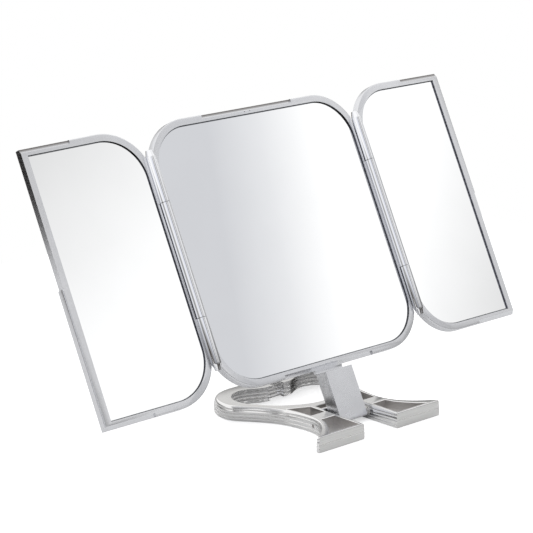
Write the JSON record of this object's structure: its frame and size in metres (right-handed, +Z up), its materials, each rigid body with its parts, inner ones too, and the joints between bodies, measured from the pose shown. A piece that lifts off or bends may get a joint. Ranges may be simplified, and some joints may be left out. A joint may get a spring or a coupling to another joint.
{
  "type": "tri-fold vanity mirror",
  "caption": "Free-standing tri-fold vanity mirror: a rounded middle leaf with hinged side leaves, on a folding arm and a looped stand that doubles as a hanging hook.",
  "frame": {"origin": "on the flat underside of the stand, on its middle line, below the web behind the arm", "axes": "+X across the mirror towards the right leaf as seen from the front, -Y the way the glass faces, +Z up"},
  "size_m": [0.3001, 0.1146, 0.164],
  "materials": {
    "plated_frame": "bright chrome-plated plastic",
    "plated_arm": "satin silver-plated plastic",
    "plated_stand": "satin silver-plated plastic, brushed on the ends of the feet",
    "plated_back": "satin silver-plated plastic",
    "mirror_glass": "silvered float glass with a seamed edge",
    "foam": "thin closed-cell foam",
    "steel": "drawn steel wire and bright screws",
    "nylon": "dark moulded nylon"
  },
  "bodies": {
    "stand": {"stand_hook": "plated_stand", "stand_pin": "steel", "washer_left": "steel", "washer_right": "steel"},
    "arm": {"arm_body": "plated_arm", "arm_cover": "plated_arm", "arm_bush": "nylon", "arm_screws": "steel"},
    "middle_leaf": {"centre_frame": "plated_frame", "centre_back": "plated_back", "centre_glass": "mirror_glass", "centre_pad": "foam", "centre_screws": "steel", "top_pin": "steel", "left_rod": "steel", "right_rod": "steel"},
    "left_leaf": {"left_frame": "plated_frame", "left_back": "plated_back", "left_glass": "mirror_glass", "left_pad": "foam", "left_screws": "steel"},
    "right_leaf": {"right_frame": "plated_frame", "right_back": "plated_back", "right_glass": "mirror_glass", "right_pad": "foam", "right_screws": "steel"}
  },
  "joints": [
    {"name": "arm_fold", "type": "hinge", "parent": "stand", "child": "arm", "pos_m": [0, -0.0125, 0.0045], "axis": [1, 0, 0], "range_deg": [0, 116.2]},
    {"name": "mirror_fold", "type": "hinge", "parent": "arm", "child": "middle_leaf", "pos_m": [0, 0.00308, 0.0228], "axis": [1, 0, 0], "range_deg": [-180, 0]},
    {"name": "left_fold", "type": "hinge", "parent": "middle_leaf", "child": "left_leaf", "pos_m": [-0.075, 0.03409, 0.09692], "axis": [0, 0.4415, 0.8973], "range_deg": [-2, 184]},
    {"name": "right_fold", "type": "hinge", "parent": "middle_leaf", "child": "right_leaf", "pos_m": [0.075, 0.03409, 0.09692], "axis": [0, -0.4415, -0.8973], "range_deg": [-5, 181]}
  ],
  "couplings": [
    {"joint": "mirror_fold", "follows": "arm_fold", "ratio": -1.5491}
  ]
}
